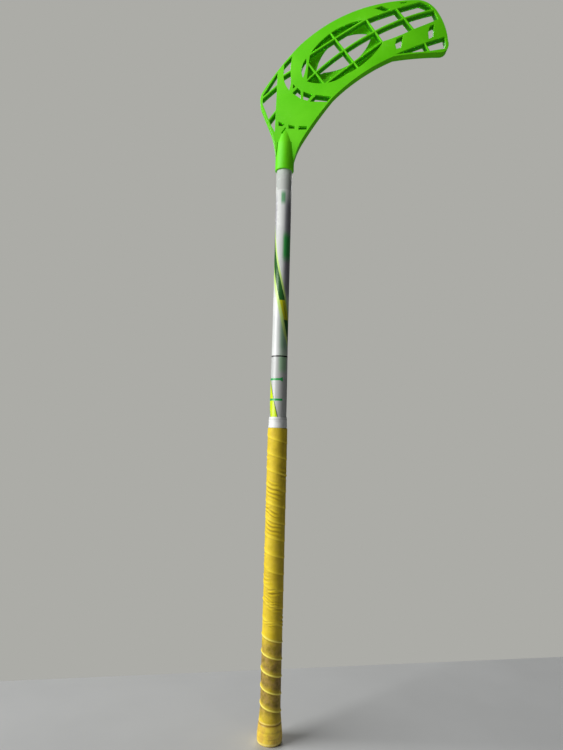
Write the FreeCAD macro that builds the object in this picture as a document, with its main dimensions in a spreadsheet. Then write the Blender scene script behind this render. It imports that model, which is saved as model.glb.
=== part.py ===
import FreeCAD, Part

import math
import os

import Sketcher
from FreeCAD import Placement, Rotation, Vector

# Floorball stick, millimetres.
# It stands on its butt end: Z runs up the shaft to the blade, the toe points to +X,
# and the convex face of the blade looks to -Y.

# Driving sizes: alias, value, what it measures
SIZES = [
    ("shaft_length", 838.0, "tube from its seat in the knob to its end in the hosel"),
    ("shaft_dia", 22.8, "tube outside, blade end"),
    ("shaft_grip_dia", 24.0, "tube outside, under the hands"),
    ("shaft_wall", 1.4, "tube wall, blade end; the bore is straight"),
    ("taper_start", 470.0, "height where the thick end starts to narrow"),
    ("taper_end", 560.0, "height where the narrow end starts"),
    ("knob_dia", 34.6, "knob at its widest"),
    ("knob_wide", 12.0, "height of the widest ring"),
    ("knob_neck_dia", 29.4, "knob where the grip meets it"),
    ("knob_height", 30.0, "knob from its flat end to the grip"),
    ("knob_floor", 6.0, "solid end of the knob, below the tube"),
    ("knob_chamfer", 2.5, "broken edge of the knob's end"),
    ("grip_length", 394.0, "grip from the knob to the finishing tape"),
    ("grip_thickness", 2.0, "grip tape"),
    ("wrap_pitch", 22.6, "one turn of the grip tape"),
    ("seam_front", 46.0, "height where the raised seam first crosses the front"),
    ("seam_rise", 0.9, "raised seam above the grip's surface"),
    ("seam_width", 4.0, "raised seam where it leaves that surface"),
    ("seam_root", 0.5, "seam's foot below that surface"),
    ("tape_length", 15.5, "finishing tape along the shaft"),
    ("tape_thickness", 1.1, "finishing tape layers"),
    ("fit_gap", 0.1, "clearance of bonded and pushed fits"),
    ("socket_depth", 40.0, "tube inside the hosel"),
    ("hosel_dia", 27.7, "hosel collar outside"),
    ("collar_height", 15.0, "full round part of the hosel"),
    ("hosel_end_dia", 26.0, "hosel outside at the socket's floor"),
    ("nose_dia", 16.0, "blunt top of the hosel inside the throat"),
    ("nose_height", 67.0, "hosel mouth to that top"),
    ("mouth_chamfer", 0.8, "outer edge of the hosel mouth"),
    ("blade_reach", 245.3, "shaft axis to the toe"),
    ("blade_depth", 13.0, "blade front to back"),
    ("swell_depth", 19.2, "throat at its deepest"),
    ("swell_height", 46.0, "hosel mouth to the deepest part of the throat"),
    ("swell_end", 120.0, "hosel mouth to where the throat is down to blade depth"),
    ("root_depth", 12.0, "throat where it leaves the collar"),
    ("sheet_thickness", 1.8, "front sheet"),
    ("ring_thickness", 1.6, "ring at the back of the grid window"),
    ("rim_width", 2.0, "outer wall of the blade"),
    ("wall_width", 1.4, "walls round the windows"),
    ("rib_width", 2.2, "ribs of the lattice"),
    ("strap_width", 4.0, "wide ribs beside the hosel and in the crescent"),
    ("groove_width", 1.0, "groove between the throat and the hosel"),
    ("groove_depth", 2.0, "that groove below the front of the throat"),
    ("slit_depth", 4.0, "blind slit in the nose, below the front of the throat"),
    ("hook_radius", 800.0, "curve of the blade, seen from above"),
    ("hook_x", 90.0, "shaft axis to the most forward part of the curve"),
    ("hook_forward", 5.0, "how far that part stands forward of the axis"),
    ("screw_height", 9.0, "hosel mouth to the screw"),
    ("screw_dia", 3.5, "screw shank"),
    ("screw_length", 9.0, "screw under its head"),
    ("screw_head_dia", 6.6, "screw head where it seats"),
    ("screw_top_dia", 5.0, "screw head at its top"),
    ("screw_head_height", 2.2, "screw head from seat to top"),
    ("screw_slot", 1.0, "width of the cross recess"),
    ("screw_slot_length", 3.6, "length of each bar of the cross"),
    ("screw_slot_depth", 1.2, "depth of the cross recess"),
]

# The blade as drawn at this reach, from the hosel mouth on the shaft axis: X towards the toe, then height.
# Two numbers are a straight run to that point, four are an arc through the first pair to the second.
DRAWN_REACH = 245.3

OUTLINE = [
    (-13.8, 15), (-16, 41, -22, 63), (-37.5, 101), (-39.3, 110, -36, 124), (-15, 155, 19, 196),
    (67, 233, 125, 260), (160, 270.2, 197, 277), (213, 274.5, 226, 265.5), (239, 244, 245.3, 218),
    (243.5, 203, 232, 196.5), (197, 190, 160, 181.5), (115, 153, 70.5, 113.5), (43.5, 76, 25, 46),
    (19, 33, 13.8, 15),
]

# The long grid window that the lattice crosses, the ring at the back of its wide end and the ring's hole
GRID_WINDOW = [
    (30, 137.5), (31.6, 160, 34, 181), (68, 217, 116, 237), (160, 257, 200, 274), (212, 271, 222, 264.5),
    (229, 250), (210, 239, 190, 228.5), (168, 215.5, 144, 204.5), (121, 173, 88, 149), (57, 134.5, 30, 137.5),
]
RING = [
    (30, 137.5), (31.6, 160, 34, 181), (68, 217, 116, 237), (143, 201), (121, 173, 88, 149),
    (57, 134.5, 30, 137.5),
]
LEAF_HOLE = [(45, 164), (68, 205, 128, 222), (104, 180, 55, 158.5), (46, 158.5, 45, 164)]

# Smaller windows that lattice ribs cross
CROSSED_WINDOWS = [
    [(-14.3, 153), (-16, 58), (-22.5, 70), (-35.8, 105), (-35, 118.5), (-14.3, 153)],
    [(7, 178.5), (-4.5, 165.5), (-5.3, 149), (-3.5, 138, 3.8, 124.5), (6.3, 137), (5, 162)],
    [(9.5, 134), (22, 122.8), (38, 116.8), (67, 113), (60.5, 104.5), (36, 104.9), (21.5, 109.8), (9.5, 119)],
    [(162.5, 185), (200, 204.5, 239.5, 223.5), (242.2, 214), (240, 204), (213, 195.6), (190, 191)],
]

# Small windows that stay clear
CLEAR_WINDOWS = [
    [(28.5, 174), (22, 160, 24, 143.5), (27.6, 158, 28.5, 174)],
    [(-11, 74.5), (-1, 69.5), (-5.5, 66.5), (-10.5, 67.5)],
    [(4, 68.5), (13.5, 66.5), (13.5, 62), (4.5, 62.5)],
    [(19.5, 66), (32, 66), (31, 60.5), (19, 60.5)],
    [(164, 210), (174, 216), (171, 196.5), (164, 194), (162, 201)],
    [(216, 236.5), (223, 241.5), (221.5, 220), (214.5, 216), (213.5, 226)],
    [(130, 256), (140.5, 261), (154, 256.6), (145, 252.4)],
    [(168, 268.8), (180, 271.6), (179, 269.2), (171, 267.4)],
]

# Blind slit in the front of the hosel's nose
NOSE_SLIT = [(-0.5, 65), (0.8, 63), (-4, 55), (-6.2, 54.5), (-6, 57)]

# Ribs of the lattice, along their centre lines: two points straight, three points an arc
RIBS = [
    [(25.5, 174.5), (143, 256.6)],
    [(24, 133), (122, 214), (228, 267)],
    [(40, 119), (140.5, 203)],
    [(12, 192), (70, 115)],
    [(50, 232), (122, 140)],
    [(105, 255), (158, 182)],
    [(152, 271), (206, 211)],
    [(206.5, 211), (219, 190)],
    [(-40, 110.5), (-10, 136.5)],
    [(-30, 71.5), (-10, 98)],
    [(-10, 145.5), (7, 156)],
]
STRAPS = [
    [(8.6, 122.6), (15.9, 129.9)],
    [(23.2, 108), (23.2, 123.5)],
    [(32.7, 105.2), (42.2, 117.1)],
    [(-10, 38), (-10, 160)],
    [(9, 38), (31.2, 103.8)],
]

doc = FreeCAD.newDocument("floorball_stick")
sheet = doc.addObject("Spreadsheet::Sheet", "Sizes")
for row, (alias, value, note) in enumerate(SIZES, start=1):
    sheet.set(f"A{row}", note)
    sheet.set(f"B{row}", str(value))
    sheet.setAlias(f"B{row}", alias)
doc.recompute()


def size(expression):
    """The number that an expression of the sheet's aliases gives."""
    return float(sheet.evalExpression(expression))


def bind(thing, **expressions):
    """Tie properties of a document object to the sheet; a double underscore stands for a dot."""
    for prop, expression in expressions.items():
        thing.setExpression(prop.replace("__", "."), expression)


def add(kind, name, **properties):
    """A new document object with some of its properties set."""
    thing = doc.addObject(kind, name)
    for prop, value in properties.items():
        setattr(thing, prop, value)
    return thing


# Heights and radii that several pieces share
GRIP_TOP = "Sizes.knob_height + Sizes.grip_length"
SHAFT_TOP = "Sizes.knob_floor + Sizes.shaft_length"
MOUTH = f"{SHAFT_TOP} - Sizes.socket_depth"
SHAFT_R = "Sizes.shaft_dia / 2"
GRIP_SHAFT_R = "Sizes.shaft_grip_dia / 2"
SHAFT_BORE_R = f"{SHAFT_R} - Sizes.shaft_wall"
GRIP_R = f"{GRIP_SHAFT_R} + Sizes.grip_thickness"
SCREW_Z = f"{MOUTH} + Sizes.screw_height"
HOSEL_END = f"{MOUTH} + Sizes.socket_depth + Sizes.sheet_thickness"


def origin_plane(body, role):
    """One of a body's own origin planes."""
    return next(plane for plane in body.Origin.OriginFeatures if plane.Role == role)


def profile_sketch(body, name, corners, role="XZ_Plane"):
    """A closed polygon sketch whose corners are pairs of expressions, each bound by two distances."""
    sketch = body.newObject("Sketcher::SketchObject", name)
    sketch.AttachmentSupport = [(origin_plane(body, role), "")]
    sketch.MapMode = "FlatFace"
    points = [Vector(size(across), size(up), 0) for across, up in corners]
    count = len(points)
    for index, point in enumerate(points):
        sketch.addGeometry(Part.LineSegment(point, points[(index + 1) % count]), False)
    for index in range(count):
        sketch.addConstraint(Sketcher.Constraint("Coincident", index, 2, (index + 1) % count, 1))
    for index, (across, up) in enumerate(corners):
        for kind, expression in (("DistanceX", across), ("DistanceY", up)):
            number = sketch.addConstraint(Sketcher.Constraint(kind, -1, 1, index, 1, size(expression)))
            sketch.setExpression(f"Constraints[{number}]", expression)
    return sketch


def revolved_body(name, corners):
    """A body turned about the Z axis from a profile of (radius, height) expressions."""
    body = doc.addObject("PartDesign::Body", name)
    sketch = profile_sketch(body, f"{name}_profile", corners)
    turn = body.newObject("PartDesign::Revolution", f"{name}_turn")
    turn.Profile = sketch
    turn.ReferenceAxis = (sketch, ["V_Axis"])
    turn.Angle = 360.0
    doc.recompute()
    return body


def ring_edges(shape, radius, height):
    """Names of the circular edges about Z with this radius at this height."""
    names = []
    for number, edge in enumerate(shape.Edges, start=1):
        circle = edge.Curve
        if not isinstance(circle, Part.Circle):
            continue
        if abs(circle.Radius - radius) < 1e-4 and abs(circle.Center.z - height) < 1e-4:
            names.append(f"Edge{number}")
    return names


def make_shaft():
    """Tube with a straight bore, thicker under the hands, with a hole for the screw in its back wall."""
    body = revolved_body("shaft_tube", [
        (SHAFT_BORE_R, "Sizes.knob_floor"),
        (GRIP_SHAFT_R, "Sizes.knob_floor"),
        (GRIP_SHAFT_R, "Sizes.taper_start"),
        (SHAFT_R, "Sizes.taper_end"),
        (SHAFT_R, SHAFT_TOP),
        (SHAFT_BORE_R, SHAFT_TOP),
    ])
    drill = body.newObject("Sketcher::SketchObject", "screw_hole_circle")
    drill.AttachmentSupport = [(origin_plane(body, "XZ_Plane"), "")]
    drill.MapMode = "FlatFace"
    hole_r = "Sizes.screw_dia / 2 + Sizes.fit_gap"
    drill.addGeometry(Part.Circle(Vector(0, size(SCREW_Z), 0), Vector(0, 0, 1), size(hole_r)), False)
    drill.addConstraint(Sketcher.Constraint("PointOnObject", 0, 3, -2))
    for kind, parts, expression in (
        ("DistanceY", (-1, 1, 0, 3), SCREW_Z),
        ("Radius", (0,), hole_r),
    ):
        number = drill.addConstraint(Sketcher.Constraint(kind, *parts, size(expression)))
        drill.setExpression(f"Constraints[{number}]", expression)
    pocket = body.newObject("PartDesign::Pocket", "screw_hole")
    pocket.Profile = drill
    pocket.Type = "Length"
    bind(pocket, Length="Sizes.shaft_dia")
    doc.recompute()
    return body


def make_knob():
    """Flared end cap with a skirt round the tube and a flat end to stand on."""
    skirt_r = f"{GRIP_SHAFT_R} + Sizes.fit_gap"
    body = revolved_body("butt_knob", [
        ("0", "0"),
        ("Sizes.knob_dia / 2", "0"),
        ("Sizes.knob_dia / 2", "Sizes.knob_wide"),
        ("Sizes.knob_neck_dia / 2", "Sizes.knob_height"),
        (skirt_r, "Sizes.knob_height"),
        (skirt_r, "Sizes.knob_floor"),
        ("0", "Sizes.knob_floor"),
    ])
    foot_edge = (body.Tip, ring_edges(body.Shape, size("knob_dia") / 2, 0))
    chamfer = body.newObject("PartDesign::Chamfer", "knob_foot")
    chamfer.Base = foot_edge
    bind(chamfer, Size="Sizes.knob_chamfer")
    doc.recompute()
    return body


def helix_point(radius, pitch, front, turn):
    """Point of a left-hand helix about Z, some turns above where it crosses the front, and its direction."""
    angle = 2 * math.pi * turn
    point = Vector(-radius * math.sin(angle), -radius * math.cos(angle), front + pitch * turn)
    along = Vector(-radius * math.cos(angle), radius * math.sin(angle), pitch / (2 * math.pi))
    return point, along.normalize()


def tangent_arc(start, corner, end):
    """Arc from start to end that is tangent to the two sides of an even-sided corner."""
    middle = (start + end) * 0.5
    half = (end - start).Length / 2
    rise = corner - middle
    sagitta = half * math.tan(math.atan2(rise.Length, half) / 2)
    return Part.Arc(start, middle + rise.normalize() * sagitta, end).toShape()


def biarc(start, start_way, end, end_way):
    """Two tangent arcs from one point and direction to another."""
    chord = end - start
    ways = start_way + end_way
    bend = 2 * (1 - start_way.dot(end_way))
    reach = (math.sqrt(chord.dot(ways) ** 2 + bend * chord.dot(chord)) - chord.dot(ways)) / bend
    first = start + start_way * reach
    second = end - end_way * reach
    joint = (first + second) * 0.5
    return [tangent_arc(start, first, joint), tangent_arc(joint, second, end)]


def helix_wire(radius, pitch, front, first, turns):
    """A helix of tangent arcs, two for each quarter turn or less."""
    steps = math.ceil(turns * 4)
    edges = []
    for step in range(steps):
        here, here_way = helix_point(radius, pitch, front, first + turns * step / steps)
        there, there_way = helix_point(radius, pitch, front, first + turns * (step + 1) / steps)
        edges += biarc(here, here_way, there, there_way)
    return Part.Wire(edges)


def least_gap(path, pitch):
    """Least distance between points of a winding that lie about one turn apart."""
    points = [point for edge in path.Edges for point in edge.discretize(5)[1:]]
    turn = round(len(points) * pitch / (points[-1].z - points[0].z))
    near = range(-turn // 4, turn // 4 + 1)
    pairs = ((here, here + turn + step) for here in range(len(points)) for step in near)
    return min((points[there] - points[here]).Length for here, there in pairs if there < len(points))


def make_grip():
    """Grip tape: a sleeve round the shaft with the raised seam of its one unbroken winding."""
    sleeve = revolved_body("grip_sleeve", [
        (f"{GRIP_SHAFT_R} + Sizes.fit_gap", "Sizes.knob_height"),
        (GRIP_R, "Sizes.knob_height"),
        (GRIP_R, GRIP_TOP),
        (f"{GRIP_SHAFT_R} + Sizes.fit_gap", GRIP_TOP),
    ])
    pitch, rise, width = size("wrap_pitch"), size("seam_rise"), size("seam_width")
    root, front, radius = size("seam_root"), size("seam_front"), size(GRIP_R)
    first = (size("knob_height") + width - front) / pitch
    turns = (size("grip_length") - 2 * width) / pitch
    path = helix_wire(radius, pitch, front, first, turns)
    start, way = helix_point(radius, pitch, front, first)
    out = Vector(start.x, start.y, 0).normalize()
    foot = way.cross(out) * (width / 2 * (rise + root) / rise)
    corners = [start - out * root + foot, start + out * rise, start - out * root - foot]
    shell = Part.BRepOffsetAPI.MakePipeShell(path)
    shell.setBiNormalMode(Vector(0, 0, 1))
    shell.add(Part.makePolygon(corners + corners[:1]))
    shell.build()
    shell.makeSolid()
    seam = add("Part::Feature", "grip_seam", Shape=shell.shape())
    print(f"grip seam: {turns:.1f} turns, least gap to itself {least_gap(path, pitch) - width:.2f} mm")
    return add("Part::Fuse", "grip_wrap", Base=sleeve, Tool=seam)


def make_tape():
    """Finishing tape that closes the top of the grip."""
    inner = f"{GRIP_SHAFT_R} + Sizes.fit_gap"
    outer = f"{GRIP_SHAFT_R} + Sizes.tape_thickness"
    foot = f"{GRIP_TOP} + Sizes.fit_gap"
    top = f"{foot} + Sizes.tape_length"
    return revolved_body("finishing_tape", [(inner, foot), (outer, foot), (outer, top), (inner, top)])


# Blade


def drawn(across, up):
    """A point of the blade's drawing, in the upright plane through the shaft axis."""
    stretch = size("blade_reach") / DRAWN_REACH
    return Vector(across * stretch, up * stretch, 0)


def loop_sketch(name, loops):
    """A sketch of closed loops of the blade's drawing, standing on the hosel mouth."""
    sketch = doc.addObject("Sketcher::SketchObject", name)
    sketch.Placement = Placement(Vector(0, 0, size(MOUTH)), Rotation(Vector(1, 0, 0), 90))
    bind(sketch, Placement__Base__z=MOUTH)
    for loop in loops:
        first = here = drawn(*loop[0])
        for run in loop[1:]:
            there = drawn(*run[-2:])
            if len(run) == 4:
                sketch.addGeometry(Part.Arc(here, drawn(*run[:2]), there), False)
            else:
                sketch.addGeometry(Part.LineSegment(here, there), False)
            here = there
        if (here - first).Length > 1e-6:
            sketch.addGeometry(Part.LineSegment(here, first), False)
    doc.recompute()
    return sketch


def loop_faces(sketch):
    """The filled faces of a sketch's loops."""
    return [Part.Face(wire) for wire in sketch.Shape.Wires]


def grown(face, width):
    """A face grown or shrunk by an even width, with its corners kept sharp."""
    sharp = 2
    return face.makeOffset2D(width, join=sharp)


def united(shapes):
    """Faces that may overlap, as one plan without overlaps."""
    faces = [face for shape in shapes for face in shape.Faces]
    return faces[0].fuse(faces[1:])


def band_face(points, width):
    """A straight or arc-shaped band of even width along a centre line of the drawing."""
    ends = [drawn(*point) for point in points]
    half = width / 2
    if len(ends) == 2:
        side = (ends[1] - ends[0]).normalize().cross(Vector(0, 0, 1)) * half
        corners = [ends[0] - side, ends[1] - side, ends[1] + side, ends[0] + side]
        edges = Part.makePolygon(corners + corners[:1]).Edges
    else:
        centre = Part.Arc(*ends).toShape().Curve.Center
        sides = []
        for offset in (-half, half):
            sides.append([point + (point - centre).normalize() * offset for point in ends])
        low, high = sides
        edges = [
            Part.Arc(*low).toShape(),
            Part.LineSegment(low[2], high[2]).toShape(),
            Part.Arc(*reversed(high)).toShape(),
            Part.LineSegment(high[0], low[0]).toShape(),
        ]
    face = Part.Face(Part.Wire(edges))
    face.Placement = Placement(Vector(0, 0, size(MOUTH)), Rotation(Vector(1, 0, 0), 90))
    return face


def skin(side, inset):
    """Side line of the blade's depth, from the root up: swollen at the throat, even above it."""
    root, swell, even = (size(alias) / 2 for alias in ("root_depth", "swell_depth", "blade_depth"))
    root_z, swell_z, even_z = (size(alias) for alias in ("collar_height", "swell_height", "swell_end"))
    top_z = drawn(0, max(run[-1] for run in OUTLINE)).y + size("hosel_dia")
    centre = -size("hook_forward")

    def place(half_depth, height):
        return Vector(centre + side * (half_depth - inset), height, 0)

    low, deep, level = place(root, root_z), place(swell, swell_z), place(even, even_z)
    return [
        Part.LineSegment(place(root, 0), low),
        Part.Arc(low, place(swell - (swell - root) / 4, (root_z + swell_z) / 2), deep),
        Part.Arc(deep, place(swell - (swell - even) / 4, (swell_z + even_z) / 2), level),
        Part.LineSegment(level, place(even, top_z)),
    ]


def layer(name, front, back):
    """A layer of the blade's depth between two side lines, turned about the upright axis of its curve."""
    sketch = doc.addObject("Sketcher::SketchObject", f"{name}_section")
    sketch.Placement = Placement(Vector(size("hook_x"), 0, size(MOUTH)), Rotation(Vector(1, 1, 1), 120))
    bind(sketch, Placement__Base__x="Sizes.hook_x", Placement__Base__z=MOUTH)
    ends = [(line[0].StartPoint, line[-1].EndPoint) for line in (front, back)]
    sketch.addGeometry(front + back, False)
    for end in range(2):
        sketch.addGeometry(Part.LineSegment(ends[0][end], ends[1][end]), False)
    turned = add("Part::Revolution", name, Source=sketch, Axis=Vector(0, 0, 1), Solid=True, Symmetric=True)
    bind(turned, Base__x="Sizes.hook_x", Base__y="Sizes.hook_radius - Sizes.hook_forward")
    bind(turned, Angle="2 * asin((Sizes.blade_reach + Sizes.hosel_dia) / Sizes.hook_radius)")
    return turned


def moulded(name, plan, envelope):
    """The prism over a plan of the drawing, or the part of it that lies in a layer."""
    outline = add("Part::Feature", f"{name}_plan", Shape=plan)
    prism = add("Part::Extrusion", f"{name}_prism", Base=outline, DirMode="Custom", Dir=Vector(0, 1, 0))
    prism.Solid = True
    prism.Symmetric = True
    bind(prism, LengthFwd="Sizes.blade_reach")
    if envelope is None:
        return prism
    return add("Part::Common", name, Base=prism, Tool=envelope)


def make_hosel():
    """Outside of the hosel: round collar, slight taper over the socket and a blunt nose in the throat."""
    return revolved_body("hosel", [
        ("0", MOUTH),
        ("Sizes.hosel_dia / 2 - Sizes.mouth_chamfer", MOUTH),
        ("Sizes.hosel_dia / 2", f"{MOUTH} + Sizes.mouth_chamfer"),
        ("Sizes.hosel_dia / 2", f"{MOUTH} + Sizes.collar_height"),
        ("Sizes.hosel_end_dia / 2", HOSEL_END),
        ("Sizes.nose_dia / 2", f"{MOUTH} + Sizes.nose_height"),
        ("0", f"{MOUTH} + Sizes.nose_height"),
    ])


def make_groove():
    """Space of the narrow groove that runs up both sides of the hosel where it leaves the throat."""
    start = f"{MOUTH} + Sizes.collar_height"
    return revolved_body("groove_space", [
        ("0", start),
        ("Sizes.hosel_dia / 2 + Sizes.groove_width", start),
        ("Sizes.hosel_end_dia / 2 + Sizes.groove_width", HOSEL_END),
        ("0", HOSEL_END),
    ])


def make_blade():
    """One moulding: a windowed front sheet, cored behind so that rim, walls and ribs stay, and a hosel."""
    outline = loop_faces(loop_sketch("outline", [OUTLINE]))[0]
    grid = loop_faces(loop_sketch("grid_window", [GRID_WINDOW]))[0]
    ring, leaf = loop_faces(loop_sketch("ring_and_leaf", [RING, LEAF_HOLE]))
    crossed = [grid] + loop_faces(loop_sketch("crossed_windows", CROSSED_WINDOWS))
    clear = loop_faces(loop_sketch("clear_windows", CLEAR_WINDOWS))
    wall = size("wall_width")
    bands = [band_face(rib, size("rib_width")) for rib in RIBS]
    bands += [band_face(strap, size("strap_width")) for strap in STRAPS]

    inside = grown(outline, -size("rim_width"))
    cores = inside.cut([grown(window, wall) for window in crossed + clear] + bands)
    cells = united([window.cut(bands) for window in crossed] + clear)
    open_cells = cells.cut(grown(ring, wall / 2).cut(leaf))

    beyond = -size("swell_depth")
    front, back = skin(-1, 0), skin(1, 0)
    before, behind = skin(-1, beyond), skin(1, beyond)
    core_layer = layer("core_layer", skin(-1, size("sheet_thickness")), behind)
    ring_layer = layer("ring_layer", before, skin(1, size("ring_thickness")))
    groove_layer = layer("groove_layer", before, skin(-1, size("groove_depth")))
    slit_layer = layer("slit_layer", before, skin(-1, size("slit_depth")))

    body = moulded("slab", outline, layer("slab_layer", front, back))
    for name, plan, envelope in (
        ("cores", cores, core_layer),
        ("cells", cells, ring_layer),
        ("open_cells", open_cells, None),
    ):
        body = add("Part::Cut", f"without_{name}", Base=body, Tool=moulded(name, plan, envelope))
    groove = add("Part::Common", "groove", Base=make_groove(), Tool=groove_layer)
    body = add("Part::Cut", "without_groove", Base=body, Tool=groove)
    body = add("Part::Fuse", "with_hosel", Base=body, Tool=make_hosel())
    slit = loop_faces(loop_sketch("nose_slit", [NOSE_SLIT]))[0]
    body = add("Part::Cut", "moulding", Base=body, Tool=moulded("slit", slit, slit_layer))
    socket = add("Part::Cylinder", "socket")
    bind(socket, Radius=f"{SHAFT_R} + Sizes.fit_gap", Height="Sizes.socket_depth + Sizes.fit_gap")
    bind(socket, Placement__Base__z=MOUTH)
    drill = add("Part::Cylinder", "screw_bore")
    drill.Placement = Placement(Vector(0, 0, 0), Rotation(Vector(1, 0, 0), -90))
    bind(drill, Radius="Sizes.screw_dia / 2 + Sizes.fit_gap", Height="Sizes.hosel_dia")
    bind(drill, Placement__Base__z=SCREW_Z)
    holes = add("Part::MultiFuse", "holes", Shapes=[socket, drill])
    return add("Part::Cut", "blade", Base=body, Tool=holes)


def make_screw():
    """Self-tapping screw from the back of the collar into the tube, with a cross recess in its head."""
    body = doc.addObject("PartDesign::Body", "screw_form")
    seat = "Sizes.hosel_dia / 2 + Sizes.fit_gap"
    sketch = profile_sketch(body, "screw_profile", [
        ("0", f"{seat} - Sizes.screw_length"),
        ("Sizes.screw_dia / 2", f"{seat} - Sizes.screw_length"),
        ("Sizes.screw_dia / 2", seat),
        ("Sizes.screw_head_dia / 2", seat),
        ("Sizes.screw_top_dia / 2", f"{seat} + Sizes.screw_head_height"),
        ("0", f"{seat} + Sizes.screw_head_height"),
    ], "XY_Plane")
    turn = body.newObject("PartDesign::Revolution", "screw_turn")
    turn.Profile = sketch
    turn.ReferenceAxis = (sketch, ["V_Axis"])
    turn.Angle = 360.0
    bind(body, Placement__Base__z=SCREW_Z)
    bars = []
    for name, wide, tall in (
        ("across", "screw_slot_length", "screw_slot"),
        ("upright", "screw_slot", "screw_slot_length"),
    ):
        bar = add("Part::Box", f"cross_{name}")
        bind(bar, Length=f"Sizes.{wide}", Width="Sizes.screw_slot_depth", Height=f"Sizes.{tall}")
        bind(bar, Placement__Base__x=f"-Sizes.{wide} / 2")
        bind(bar, Placement__Base__y=f"{seat} + Sizes.screw_head_height - Sizes.screw_slot_depth")
        bind(bar, Placement__Base__z=f"{SCREW_Z} - Sizes.{tall} / 2")
        bars.append(bar)
    cross = add("Part::MultiFuse", "screw_cross", Shapes=bars)
    return add("Part::Cut", "blade_screw", Base=body, Tool=cross)


parts = [make_shaft(), make_knob(), make_grip(), make_tape(), make_blade(), make_screw()]
doc.recompute()

for thing in doc.Objects:
    if "Invalid" in thing.State or "Error" in thing.State:
        raise RuntimeError(f"{thing.Name} failed to compute")
os.makedirs("parts", exist_ok=True)
for part in parts:
    shape = part.Shape
    if shape.isNull() or not shape.isValid():
        raise RuntimeError(f"{part.Label} has no valid shape")
    if len(shape.Solids) != 1:
        raise RuntimeError(f"{part.Label} has {len(shape.Solids)} solids")
    shape.exportStep(f"parts/{part.Label}.step")
    print(part.Label, round(shape.Volume), "mm3")
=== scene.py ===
import math

import bmesh
import bpy
import numpy as np
from mathutils import Matrix, Vector
from mathutils.bvhtree import BVHTree


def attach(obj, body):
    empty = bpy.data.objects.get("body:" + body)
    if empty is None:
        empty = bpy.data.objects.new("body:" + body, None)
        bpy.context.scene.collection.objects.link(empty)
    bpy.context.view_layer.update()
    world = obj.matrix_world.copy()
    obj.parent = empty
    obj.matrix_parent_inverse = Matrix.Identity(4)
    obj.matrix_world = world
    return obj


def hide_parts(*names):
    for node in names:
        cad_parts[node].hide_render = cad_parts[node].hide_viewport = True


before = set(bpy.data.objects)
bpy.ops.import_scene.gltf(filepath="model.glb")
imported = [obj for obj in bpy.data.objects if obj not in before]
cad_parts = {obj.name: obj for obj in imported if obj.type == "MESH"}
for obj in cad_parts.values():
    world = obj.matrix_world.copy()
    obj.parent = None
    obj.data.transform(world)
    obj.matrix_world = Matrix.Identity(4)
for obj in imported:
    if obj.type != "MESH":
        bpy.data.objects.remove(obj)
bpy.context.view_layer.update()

# Floorball stick on its butt end, blade up: millimetres here, metres in the meshes.
# Angles run round the shaft from the front (-Y), positive towards the toe (+X).
MM = 0.001
FIT_GAP = 0.1
KNOB_TOP = 30.0
KNOB_FLOOR = 6.0
KNOB_R = 17.3
NECK_R = 15.2
GRIP_TOP = 424.0
GRIP_R = 14.0
WRAP_PITCH = 22.6
SEAM_FRONT = 46.0
TAPE_FOOT = GRIP_TOP + FIT_GAP
TAPE_TOP = 439.6
SHAFT_FOOT = KNOB_FLOOR
SHAFT_TOP = 844.0
TAPER_START = 470.0
TAPER_END = 560.0
SHAFT_LOW_R = 12.0
SHAFT_HIGH_R = 11.4
SHAFT_BORE_R = 10.0

# The blade bends about an upright axis: its place, its middle radius and its even depth
HOOK_X = 90.0
HOOK_Y = 795.0
HOOK_RADIUS = 800.0
BLADE_DEPTH = 13.0

# The hosel's nose is a cone that starts one front sheet above the tube and ends in a blunt top
HOSEL_R = 13.0
NOSE_R = 8.0
SHEET = 1.8
NOSE_FOOT = SHAFT_TOP + SHEET
NOSE_TOP = 871.0
NOSE_FIT = 0.03

# The blade's mesh: distances and angles under which points, slivers and faces join,
# edges that are rounded, and rays that look for a facing wall
JOIN = 0.002
SLIVER = 0.0002
FLAT_ANGLE = math.radians(0.02)
BEVEL_ANGLE = math.radians(38)
NOSE_ANGLE = math.radians(75)
EDGE_ROUNDING = 0.25
ROUNDING_SHARE = 0.4
STRAY = 0.12
RAY_START = 0.05
RAY_REACH = 150.0

# Points round each turned piece, and along its wall
SHAFT_COLUMNS = 128
TAPER_ROWS = 9
KNOB_COLUMNS = 144
KNOB_ROWS = 90
FOOT_ROWS = 15
GRIP_COLUMNS = 144
GRIP_ROWS = 640
TAPE_COLUMNS = 128
TAPE_ROWS = 56

# The knob's side as (height, radius) points; (height, half width, depth) of its grooves and its bead;
# (height, half width, strength) of the grime and painted shade in its grooves, and of the painted highlights
# on its edges
FOOT_ROUND = 3.5
SIDE_FOOT = 4.2
KNOB_SIDE = [(4.0, 17.2), (9.0, KNOB_R), (14.0, 17.05), (19.0, 16.55), (24.5, 15.9), (KNOB_TOP, NECK_R)]
KNOB_GROOVES = [(26.6, 0.9, 0.5), (18.0, 0.9, 0.10), (10.2, 0.8, 0.05)]
KNOB_BEADS = [(28.3, 0.8, 0.22)]
KNOB_DARKENING = [(26.4, 1.3, 0.85), (18.0, 1.1, 0.26), (10.2, 0.9, 0.10)]
KNOB_HIGHLIGHTS = [(3.2, 1.2, 1.0), (28.6, 0.7, 0.5)]

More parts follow.
